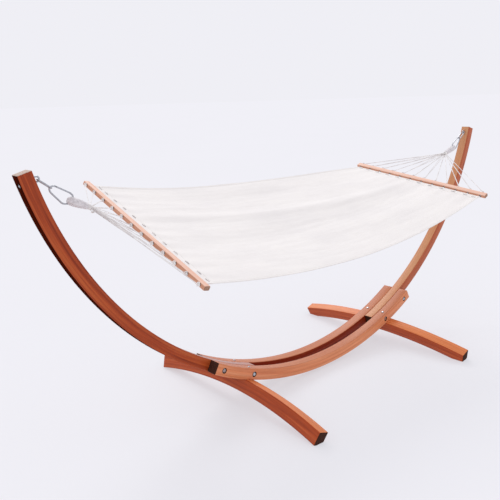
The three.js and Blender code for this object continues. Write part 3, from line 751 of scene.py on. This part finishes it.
def make_side_bolt(label, angle):
    """Bolt head in the near rail, nut in the far rail; the bolt lies along Y."""
    place = arc_frame(angle, ARC_MIDDLE) @ Matrix.Rotation(-math.pi / 2, 4, "X")
    seat = RAIL_FACE - RECESS_DEPTH
    outer = seat + GAP + WASHER_THICKNESS
    head_seat = outer + GAP
    head_top = head_seat + SIDE_NUT_HEIGHT
    bore = SIDE_BOLT + NUT_PLAY
    bm = bmesh.new()
    add_lathe(bm, place, hex_profile(SIDE_NUT, -head_top, -head_seat), 6)
    shank = [(SIDE_BOLT, -head_seat - 0.0005), (SIDE_BOLT, 0.03), *threaded(SIDE_BOLT, 0.032, RAIL_FACE)]
    add_lathe(bm, place, shank, 24)
    metal(f"{label}_bolt", bm, ZINC)
    for where, low in (("near", -outer), ("far", seat + GAP)):
        bm = bmesh.new()
        add_ring(bm, place, SIDE_WASHER, bore, low, low + WASHER_THICKNESS, WASHER_EDGE)
        metal(f"{label}_{where}_washer", bm, DULL_ZINC_AND_PAINTED_SHADE)
    bm = bmesh.new()
    add_ring(bm, place, SIDE_NUT, bore, head_seat, head_top, 0.0008, 6)
    metal(f"{label}_nut", bm, ZINC)


def finish_bolt(label, bm, place, washer_radius, washer_top, thread, shank_top):
    """Adds a threaded shank to a bolt's head in bm, and makes the bolt, its washer and its nut."""
    nut_top = washer_top - WASHER_THICKNESS - GAP
    nut_bottom = nut_top - SMALL_NUT_HEIGHT
    shank = [*threaded(SMALL_BOLT, nut_bottom - BOLT_TIP, nut_top + thread), (SMALL_BOLT, shank_top)]
    add_lathe(bm, place, shank, 24)
    metal(f"{label}_bolt", bm, ZINC)
    bore = SMALL_BOLT + NUT_PLAY
    bm = bmesh.new()
    add_ring(bm, place, washer_radius, bore, washer_top - WASHER_THICKNESS, washer_top, WASHER_EDGE)
    metal(f"{label}_washer", bm, DULL_ZINC_AND_PAINTED_SHADE)
    bm = bmesh.new()
    add_ring(bm, place, SMALL_NUT, bore, nut_bottom, nut_top, 0.0006, 6)
    metal(f"{label}_nut", bm, ZINC)


def make_top_bolt(label, angle, y):
    """Domed bolt down through a rail and a foot."""
    place = arc_frame(angle, ARC_INNER, y)
    recess_floor = ARC_INNER - ARC_OUTER - GAP - FOOT_DEPTH + UNDER_DEPTH
    rim = DOME_LIFT + 0.0006
    dome = [(DOME_RADIUS * math.cos(a), rim + DOME_HEIGHT * math.sin(a)) for a in np.linspace(0, 1.35, 8)]
    bm = bmesh.new()
    add_lathe(bm, place, [(0.0074, DOME_LIFT), (DOME_RADIUS, DOME_LIFT + 0.0004), *dome], 40)
    finish_bolt(label, bm, place, FOOT_WASHER, recess_floor - GAP, 0.02, DOME_LIFT + 0.0005)


def circle(matrix, radius, count=64):
    turns = (2 * math.pi * i / count for i in range(count))
    return [matrix @ Vector((radius * math.cos(t), 0, radius * math.sin(t))) for t in turns]


def make_eye_bolt(label, side):
    place = arc_frame(side * EYE_ANGLE, ARC_INNER)
    ring = circle(place @ Matrix.Translation((0, 0, EYE_STAND_OFF)), EYE_RING)
    washer_top = ARC_INNER - ARC_OUTER + EYE_RECESS_DEPTH - 0.0007
    bm = bmesh.new()
    add_tube(bm, ring, EYE_WIRE, 20, closed=True)
    finish_bolt(f"{label}_eye", bm, place, EYE_WASHER, washer_top, 0.03, EYE_STAND_OFF - EYE_RING)


for stand_label, stand_side in (("left", -1), ("right", 1)):
    for bolt_label, bolt_angle in zip(("upper", "lower"), SIDE_BOLT_ANGLES):
        make_side_bolt(f"{stand_label}_{bolt_label}", stand_side * bolt_angle)
    for bolt_label, bolt_y in (("near", -RAIL_Y), ("far", RAIL_Y)):
        make_top_bolt(f"{stand_label}_foot_{bolt_label}", stand_side * FOOT_ANGLE, bolt_y)
    make_eye_bolt(stand_label, stand_side)


# ---- Link, spring hook and sleeve ----

def swing_point(side):
    eye = arc_frame(side * EYE_ANGLE, ARC_INNER) @ Vector((0, 0, EYE_STAND_OFF))
    return pull_frame(side, LINK_SLOPE, eye) @ Vector((EYE_RING, 0, 0))


def hook_frame(side):
    start = pull_frame(side, LINK_SLOPE, swing_point(side)) @ Vector((LINK_REACH, 0, 0))
    return pull_frame(side, HOOK_SLOPE, start)


def sleeve_frame(data):
    end = hook_frame(data["side"]) @ Vector((HOOK_REACH, 0, 0))
    return pull_frame(data["side"], data["slope"], end)


def make_link(label, side):
    """An oblong welded loop of wire."""
    place = pull_frame(side, LINK_SLOPE, swing_point(side))
    near = -(EYE_WIRE + LINK_WIRE + LINK_PLAY) + LINK_HALF_WIDTH
    far = LINK_REACH + HOOK_WIRE + LINK_WIRE + GAP - LINK_HALF_WIDTH
    line = []
    for centre, first in ((far, -math.pi / 2), (near, math.pi / 2)):
        for i in range(17):
            turn = first + math.pi * i / 16
            spot = (centre + LINK_HALF_WIDTH * math.cos(turn), LINK_HALF_WIDTH * math.sin(turn), 0)
            line.append(place @ Vector(spot))
    line = resample(line + line[:1], 0.002)[:-1]
    bm = bmesh.new()
    add_tube(bm, line, LINK_WIRE, 16, closed=True)
    metal(f"{label}_link", bm, ZINC, "hammock")


def drill(obj, pin):
    """Bores the hole for the gate's pin."""
    hole = bmesh.new()
    add_lathe(hole, pin, [(HINGE_HOLE, -0.01), (HINGE_HOLE, 0.01)], 20)
    cut(obj, hole)


def hinge_cut(obj, pin, low, high):
    """Takes a round slice out of a piece at the hinge, from low to high along the pin."""
    disc = bmesh.new()
    add_lathe(disc, pin, [(HINGE_CLEAR, low), (HINGE_CLEAR, high)], 32)
    cut(obj, disc)


def make_spring_hook(label, side):
    """A pear of bent wire, with a gate that swings in from its hinge near the narrow end.

    The wire is a flat tongue at the hinge, and the gate's end is a fork that straddles it.
    """
    place = hook_frame(side)
    corners = [HOOK_HINGE, (0.006, 0.0115), (-0.001, -0.004), (0.010, -0.0145), (0.076, -0.027),
               (0.101, -0.013), (0.1035, 0.006), (0.097, 0.022), HOOK_NOSE]
    gate = (Vector(HOOK_NOSE) - Vector(HOOK_HINGE)).normalized()
    tail = Vector(HOOK_HINGE) + gate * GATE_TAIL
    line = rounded_line([(x, 0, z) for x, z in [tuple(tail), *corners]], 0.007, 8)
    bm = bmesh.new()
    add_tube(bm, resample([place @ p for p in line], 0.0015), HOOK_WIRE, 18)
    body = metal(f"{label}_hook_body", bm, ZINC, "hammock")
    hinge = place @ Matrix.Translation((HOOK_HINGE[0], 0, HOOK_HINGE[1]))
    pin = hinge @ Matrix.Rotation(math.pi / 2, 4, "X")
    hinge_cut(body, pin, -0.02, -HINGE_TONGUE / 2)
    hinge_cut(body, pin, HINGE_TONGUE / 2, 0.02)
    drill(body, pin)

    start = Vector(HOOK_HINGE) - gate * GATE_TAIL
    end = Vector(HOOK_NOSE) - gate * GATE_GAP
    spots = [start.lerp(end, t) for t in np.linspace(0, 1, 24)]
    bm = bmesh.new()
    add_tube(bm, [place @ Vector((x, 0, z)) for x, z in spots], GATE_WIRE, 18)
    gate_rod = metal(f"{label}_hook_gate", bm, ZINC, f"{label}_gate")
    hinge_cut(gate_rod, pin, -HINGE_SLOT / 2, HINGE_SLOT / 2)
    drill(gate_rod, pin)

    bm = bmesh.new()
    add_lathe(bm, pin, [(0.0016, -0.0042), (0.0022, -0.0037), (0.0012, -0.0033), (0.0012, 0.0033),
                        (0.0022, 0.0037), (0.0016, 0.0042)], 20)
    metal(f"{label}_hook_pin", bm, DULL_ZINC_AND_PAINTED_SHADE, "hammock")


def make_sleeve(label, data):
    """The felt wrapping round the rope's eye: a soft tapered roll with an uneven surface."""
    mouth = data["reach"] - SLEEVE_SHORT
    place = sleeve_frame(data) @ Matrix.Rotation(math.pi / 2, 4, "Y")
    outline = [(0.004, -0.0188), (0.0110, -0.0170), (0.0152, -0.012), (0.0172, -0.004), (0.0178, 0.007),
               (0.0172, 0.35 * mouth), (0.0158, 0.62 * mouth), (0.0142, 0.85 * mouth),
               (0.0128, mouth - 0.001), (0.0116, mouth), (0.0104, mouth - 0.002),
               (0.0102, mouth - 0.030), (0.002, mouth - 0.031)]
    line = resample([(r, z, 0) for r, z in outline], 0.0015)
    bm = bmesh.new()
    add_lathe(bm, place, [(r, z) for r, z, _ in line], 56)
    axis_start = place.translation
    for vertex in bm.verts:
        lump = noise.noise(vertex.co * 70) * 0.0016 + noise.noise(vertex.co * 260) * 0.0005
        away = vertex.co - axis_start
        along = (place.to_3x3() @ Vector((0, 0, 1))).normalized()
        outward = away - along * away.dot(along)
        if outward.length > 0.0108:
            vertex.co += outward.normalized() * min(lump, 0.0006)
    piece(f"{label}_sleeve_felt", bm, FELT, "hammock", [f"{label}_rope_sleeve"], 80)


# ---- Spreader bars and cords ----

def bar_frame(data):
    """Local X points from the left arm to the right arm, local Y along the bar."""
    roll = Matrix.Rotation(math.radians(data["roll"]), 4, "X")
    pitch = Matrix.Rotation(math.radians(-data["side"] * data["pitch"]), 4, "Y")
    return Matrix.Translation(data["bar"]) @ roll @ pitch


def hole_places():
    half = BAR_LENGTH / 2 - HOLE_MARGIN
    return [half * (2 * i / (CORDS - 1) - 1) for i in range(CORDS)]


def make_bar(label, data):
    place = bar_frame(data)
    lengthwise = Matrix.Rotation(math.pi / 2, 4, "Z")
    half = BAR_LENGTH / 2
    bm = bmesh.new()
    add_beam(bm, lambda s: place @ Matrix.Translation((0, s, 0)) @ lengthwise, -half, half,
             BAR_DEPTH / 2, BAR_THICKNESS / 2, BAR_EDGE)
    looks = [BEECH, PAINTED_SHADE_BEECH_SIDE, BEECH_END, PAINTED_SHADE_BEECH_HOLE]
    bar = piece(f"{label}_bar_wood", bm, looks, "hammock", [f"{label}_spreader_bar"])
    cutters = bmesh.new()
    for y in hole_places():
        spot = place @ Matrix.Translation((0, y, 0)) @ Matrix.Rotation(math.pi / 2, 4, "Y")
        half = BAR_DEPTH / 2
        profile = [(HOLE_RADIUS + 2 * COUNTERSINK, -half - COUNTERSINK), (HOLE_RADIUS, -half + COUNTERSINK),
                   (HOLE_RADIUS, half - COUNTERSINK), (HOLE_RADIUS + 2 * COUNTERSINK, half + COUNTERSINK)]
        add_lathe(cutters, spot, profile, 32)
    cut(bar, cutters)
    back = place.inverted()

    def inverse(co):
        local = back @ co
        return local.y, local.x, local.z

    # Slot 1 is painted shade on the faces the holes run through; slot 3 was painted shade in the holes.
    sides, end = 1, 2
    finish_wood(bar, inverse, end, end)
    through = place.to_3x3() @ Vector((1, 0, 0))
    for face in bar.data.polygons:
        if face.material_index == 0 and abs(face.normal.dot(through)) > 0.75:
            face.material_index = sides


def cloth_shape():
    """The middle of the cloth as a function of u, 0 to 1 along, and w, -1 to 1 across."""
    from_bar = BAR_DEPTH / 2 + CLOTH_FROM_BAR
    start = bar_frame(SIDES["left"]) @ Vector((from_bar, 0, 0))
    end = bar_frame(SIDES["right"]) @ Vector((-from_bar, 0, 0))
    rolls = [math.radians(SIDES[s]["roll"]) for s in ("left", "right")]
    length = (end - start).length

    def folds(u, w):
        from_end = min(u, 1 - u) * length
        pull = math.exp(-from_end / PULL_REACH)
        pitch = (BAR_LENGTH - 2 * HOLE_MARGIN) / (CORDS - 1)
        pucker = 0.0026 * pull * (1 - math.exp(-from_end / 0.02))
        height = pucker * math.cos(2 * math.pi * (w * CLOTH_WIDTH / 2 / pitch + 0.5))
        middle = 1 - math.exp(-from_end / 0.16)
        for place, lean, width, depth in FOLDS:
            crease = (w - place - lean * u) / width
            height += depth * middle * math.exp(-crease * crease)
        height += 0.0060 * middle * noise.noise(Vector((u * 2.2, w * 3.4, 1.7)))
        height += 0.0012 * middle * noise.noise(Vector((u * 9.0, w * 17.0, 4.1)))
        return height

    def shape(u, w, lift=0.0):
        twist = max(0.0, (u - CLOTH_TWIST_FROM) / (1 - CLOTH_TWIST_FROM)) ** 2
        roll = rolls[0] + (rolls[1] - rolls[0]) * twist
        bow = 4 * u * (1 - u)
        sag = CLOTH_SAG * bow * (1 + CLOTH_LEAN * (1 - 2 * u))
        reach = w * CLOTH_WIDTH / 2
        rise = lift + folds(u, w) - CLOTH_CROSS_SAG * bow * (1 - w * w)
        middle = start.lerp(end, u)
        return middle + Vector((0, reach * math.cos(roll) - rise * math.sin(roll),
                                reach * math.sin(roll) + rise * math.cos(roll) - sag))

    return shape, length


cloth_point, CLOTH_LENGTH = cloth_shape()


def packed(count, radius):
    """Places (across, up) of cords packed in a round bundle, from one side to the other."""
    golden = math.pi * (3 - math.sqrt(5))
    spots = [(radius * math.sqrt((k + 0.5) / count), k * golden) for k in range(count)]
    return sorted((r * math.cos(a), r * math.sin(a)) for r, a in spots)


def knot_line(matrix, size, count=64):
    """A trefoil knot round local Z."""
    line = []
    for i in range(count):
        t = 2 * math.pi * i / count
        x = math.sin(t) + 2 * math.sin(2 * t)
        y = math.cos(t) - 2 * math.cos(2 * t)
        line.append(matrix @ (size * Vector((x, y, -math.sin(3 * t)))))
    return line


def hem_point(side, inward, y, lift):
    """A point of the cloth, inward from its end at the bar of that side."""
    u = inward / CLOTH_LENGTH if side < 0 else 1 - inward / CLOTH_LENGTH
    return cloth_point(u, 2 * y / CLOTH_WIDTH, lift)


def hem_place(y):
    """Where across the cloth a cord's loop lies: the outermost ones lean in, clear of the side hems."""
    limit = CLOTH_WIDTH / 2 - HEM_WIDTH - LOOP_HALF
    return max(-limit, min(limit, y))


def make_cords(label, data):
    """Each cord runs from the sleeve through its hole, loops in the hem and runs back."""
    sleeve, bar = sleeve_frame(data), bar_frame(data)
    side = data["side"]
    mouth = data["reach"] - SLEEVE_SHORT
    spots = packed(2 * CORDS, BUNDLE_RADIUS)
    across = 1 if (sleeve.to_3x3() @ Vector((0, 1, 0))).y > 0 else -1
    for number, y in enumerate(hole_places()):
        legs = []
        for leg, spread in ((0, -1), (1, 1)):
            q, r = spots[2 * number + leg]
            inside = sleeve @ Vector((mouth - CORD_INSIDE, across * q, r))
            gather = sleeve @ Vector((mouth + WHIPPING, across * q, r))
            beside = y + spread * STRAND * 1.02
            entry = bar @ Vector((side * (BAR_DEPTH / 2 + 0.008), beside, 0))
            leave = bar @ Vector((-side * (BAR_DEPTH / 2 + 0.001), beside, 0))
            looped = hem_place(y) + spread * LOOP_HALF
            under = hem_point(side, 0.008, hem_place(y) + 0.4 * spread * LOOP_HALF, -0.0048)
            rising = hem_point(side, LOOP_INWARD - 0.004, looped, -0.0044)
            legs.append([inside, gather, entry, leave, under, rising])
        turn = [hem_point(side, LOOP_INWARD, hem_place(y) + s * LOOP_HALF, 0.0026) for s in (-1, 1)]
        line = rounded_line([*legs[0], *turn, *legs[1][::-1]], 0.005, 6)
        bm = bmesh.new()
        add_tube(bm, resample(line, 0.0018), STRAND, 10, strands=3)
        stopper = bar @ Matrix.Translation((side * (BAR_DEPTH / 2 + 0.0054), y, 0))
        stopper = stopper @ Matrix.Rotation(math.pi / 2, 4, "Y")
        add_tube(bm, knot_line(stopper, STOPPER_SIZE), STOPPER_STRAND, 10, closed=True, strands=3)
        node = [f"{label}_cord_fan"]
        piece(f"{label}_cord_{number + 1:02d}", bm, ROPE, "hammock", node, 60)


def make_whipping(label, data):
    """Thin cord wound round the bundle at the sleeve's mouth, with a tail that ends in a knot."""
    sleeve = sleeve_frame(data)
    mouth = data["reach"] - SLEEVE_SHORT
    line = []
    for t in np.linspace(0, 1, int(WHIPPING_TURNS * 32)):
        turn = 2 * math.pi * WHIPPING_TURNS * t
        across, up = WHIPPING_RADIUS * math.cos(turn), WHIPPING_RADIUS * math.sin(turn)
        line.append(sleeve @ Vector((mouth - 0.002 + WHIPPING * t, across, up)))
    centre = sleeve @ Vector((data["reach"] + 0.024, 0, -0.0155))
    tail = sleeve @ Vector((mouth + WHIPPING + 0.003, 0, -WHIPPING_RADIUS - 0.0008))
    bm = bmesh.new()
    add_tube(bm, resample(line + [tail, centre], 0.0012), WHIPPING_WIRE, 10)
    add_tube(bm, knot_line(Matrix.Translation(centre), 0.0022), STRAND, 10, closed=True, strands=3)
    piece(f"{label}_whipping", bm, ROPE, "hammock", (), 60)


for side_label, side_data in SIDES.items():
    make_link(side_label, side_data["side"])
    make_spring_hook(side_label, side_data["side"])
    make_sleeve(side_label, side_data)
    make_bar(side_label, side_data)
    make_cords(side_label, side_data)
    make_whipping(side_label, side_data)


# ---- Cloth ----

def hem_thickness(from_side, from_end):
    """Half thickness of the cloth, more in the folded hems and the cords' casings."""
    half = CLOTH_HALF
    if from_side < HEM_WIDTH:
        half += HEM_EXTRA * min(1.0, (HEM_WIDTH - from_side) / 0.0015)
    if from_end < CASING:
        half += CASING_EXTRA * math.sqrt(max(0.0, 1 - ((from_end - CASING / 2) / (CASING / 2)) ** 2))
    return half


def make_cloth():
    length = CLOTH_LENGTH

    def stations(count, span, fine):
        plain = np.linspace(0, span, count)
        edge = [0.0015, 0.004, 0.008, fine - 0.0015, fine, fine + 0.002]
        return sorted({round(float(v), 5) for v in [*plain, *edge, *[span - e for e in edge]]})

    along = stations(GRID_ALONG, length, CASING)
    across = stations(GRID_ACROSS, CLOTH_WIDTH, HEM_WIDTH)
    bm = bmesh.new()
    sheets = []
    for face in (1, -1):
        rows = []
        for x in along:
            row = []
            for y in across:
                half = hem_thickness(min(y, CLOTH_WIDTH - y), min(x, length - x))
                row.append(bm.verts.new(cloth_point(x / length, 2 * y / CLOTH_WIDTH - 1, face * half)))
            rows.append(row)
        sheets.append(rows)
    weave = bm.loops.layers.uv.new("weave")

    def quad(corners, places):
        face = bm.faces.new(corners)
        for loop, spot in zip(face.loops, places):
            loop[weave].uv = spot

    for rows in sheets:
        for i in range(len(along) - 1):
            for j in range(len(across) - 1):
                steps = ((i, j), (i + 1, j), (i + 1, j + 1), (i, j + 1))
                quad([rows[a][b] for a, b in steps], [(along[a], across[b]) for a, b in steps])
    last_i, last_j = len(along) - 1, len(across) - 1
    border = [(i, 0) for i in range(last_i)] + [(last_i, j) for j in range(last_j)]
    border += [(i, last_j) for i in range(last_i, 0, -1)] + [(0, j) for j in range(last_j, 0, -1)]
    top, under = sheets
    for (a, b), (c, d) in zip(border, border[1:] + border[:1]):
        spots = [(along[a], across[b]), (along[c], across[d]), (along[c], across[d]), (along[a], across[b])]
        quad([top[a][b], top[c][d], under[c][d], under[a][b]], spots)
    return piece("hammock_canvas", bm, CANVAS, "hammock", ["hammock_cloth"], 50)


def make_stitches():
    """Rows of thread along the hems, on the upper side and the under side."""
    shape, length = cloth_point, CLOTH_LENGTH
    stitch, pitch, thread, margin = 0.0032, 0.0050, 0.00045, 0.014
    bm = bmesh.new()

    def row(points_at, span):
        for k in range(int(span / pitch)):
            first, last = k * pitch, k * pitch + stitch
            ends = [points_at(first), points_at((first + last) / 2), points_at(last)]
            add_tube(bm, ends, thread, 5)

    for face in (1, -1):
        for inset in (0.0022, HEM_WIDTH - 0.0022):
            for edge in (inset, CLOTH_WIDTH - inset):
                lift = face * (hem_thickness(min(edge, CLOTH_WIDTH - edge), 1) + 0.0001)
                across = 2 * edge / CLOTH_WIDTH - 1
                row(lambda s, w=across, h=lift: shape(0.02 + s / length, w, h), length * 0.96)
        for edge in (CASING + 0.0015, length - CASING - 0.0015):
            lift = face * (CLOTH_HALF + 0.0001)
            row(lambda s, u=edge / length, h=lift: shape(u, 2 * (s + margin) / CLOTH_WIDTH - 1, h),
                CLOTH_WIDTH - 2 * margin)
    return piece("hem_stitches", bm, THREAD, "hammock", (), 60)


def make_slits():
    """A bound slit in the casing under each loop of cord, grey as painted shade of the loop."""
    bm = bmesh.new()
    for side in (-1, 1):
        for y in hole_places():
            line = []
            for i in range(24):
                turn = 2 * math.pi * i / 24
                across = hem_place(y) + (LOOP_HALF + 0.003) * math.cos(turn)
                line.append(hem_point(side, LOOP_INWARD + 0.0032 * math.sin(turn), across, 0.0024))
            add_tube(bm, line, 0.0009, 8, closed=True)
    return piece("hem_slits", bm, SLIT_BINDING_AND_SHADE, "hammock", (), 60)


canvas = make_cloth()
stitches = make_stitches()
slits = make_slits()


# ---- Floor and light ----

FLOOR_RADIUS = 400.0
SKY = (0.866, 0.862, 0.912)
FLOOR_TONE = (0.300, 0.298, 0.306)
FLOOR_GLOW = 0.538  # the floor's own light, which keeps the shadows on it faint


def make_stage():
    """A pale lit floor that runs out to the horizon, where it meets a sky of the same tone."""
    bm = bmesh.new()
    bmesh.ops.create_circle(bm, cap_ends=True, radius=FLOOR_RADIUS, segments=96)
    mesh = bpy.data.meshes.new("floor")
    bm.to_mesh(mesh)
    bm.free()
    n = Nodes("studio_floor")
    soft = n.noise(n.add("TexCoord").outputs["Object"], 0.4, 2)
    paler = tuple(1.02 * c for c in FLOOR_TONE)
    n.link(n.ramp(soft, (0.2, FLOOR_TONE), (0.8, paler)), n.shader.inputs["Base Color"])
    n.set(Roughness=1.0, Specular_IOR_Level=0.0)
    n.set(Emission_Color=(*SKY, 1), Emission_Strength=FLOOR_GLOW / SKY[0])
    mesh.materials.append(n.material)
    floor = bpy.data.objects.new("floor", mesh)
    floor.location = (0, 0, -0.0005)
    show(floor)


def soft_sun(name, towards, strength, softness):
    data = bpy.data.lights.new(name, "SUN")
    data.energy, data.angle = strength, math.radians(softness)
    lamp = bpy.data.objects.new(name, data)
    lamp.rotation_euler = Vector(towards).to_track_quat("Z", "Y").to_euler()
    show(lamp)


def make_lights():
    world = bpy.data.worlds.new("studio")
    world.use_nodes = True
    background = world.node_tree.nodes["Background"]
    background.inputs["Color"].default_value = (*SKY, 1)
    background.inputs["Strength"].default_value = 1.0
    bpy.context.scene.world = world
    soft_sun("high_back", (0.40, 0.75, 0.85), 1.15, 35)
    bpy.context.scene.view_settings.view_transform = "Standard"


make_stage()
make_lights()
